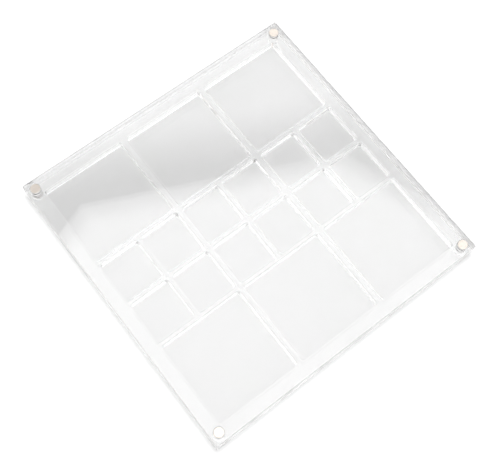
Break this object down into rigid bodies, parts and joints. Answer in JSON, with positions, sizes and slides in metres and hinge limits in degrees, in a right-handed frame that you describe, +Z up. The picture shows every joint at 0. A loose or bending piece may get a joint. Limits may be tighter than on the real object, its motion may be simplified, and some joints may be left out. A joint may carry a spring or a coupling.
{
  "type": "paint palette",
  "caption": "Square clear acrylic mixing palette: a flat base of large and small square wells under a flat lid that corner disc magnets hold and that lifts straight off.",
  "frame": {"origin": "centre of the palette's underside, where it rests on the table", "axes": "+Z up through the sheets, +X to the right along the rows of wells, +Y to the rear row of large wells"},
  "size_m": [0.19, 0.19, 0.0151],
  "materials": {
    "clear_acrylic": "clear cast acrylic, polished faces and flame-polished edges",
    "nickel": "bright nickel plating on disc magnets"
  },
  "bodies": {
    "base": {"floor_plate": "clear_acrylic", "well_grid": "clear_acrylic", "lower_magnet_rear_left": "nickel", "lower_magnet_rear_right": "nickel", "lower_magnet_front_right": "nickel", "lower_magnet_front_left": "nickel", "middle_magnet_rear_left": "nickel", "middle_magnet_rear_right": "nickel", "middle_magnet_front_right": "nickel", "middle_magnet_front_left": "nickel", "upper_magnet_rear_left": "nickel", "upper_magnet_rear_right": "nickel", "upper_magnet_front_right": "nickel", "upper_magnet_front_left": "nickel"},
    "lid": {"lid_plate": "clear_acrylic", "lid_magnet_rear_left": "nickel", "lid_magnet_rear_right": "nickel", "lid_magnet_front_right": "nickel", "lid_magnet_front_left": "nickel"}
  },
  "joints": [
    {"name": "lid_lift", "type": "slide", "parent": "base", "child": "lid", "axis": [0, 0, 1], "range_m": [0, 0.06]}
  ]
}
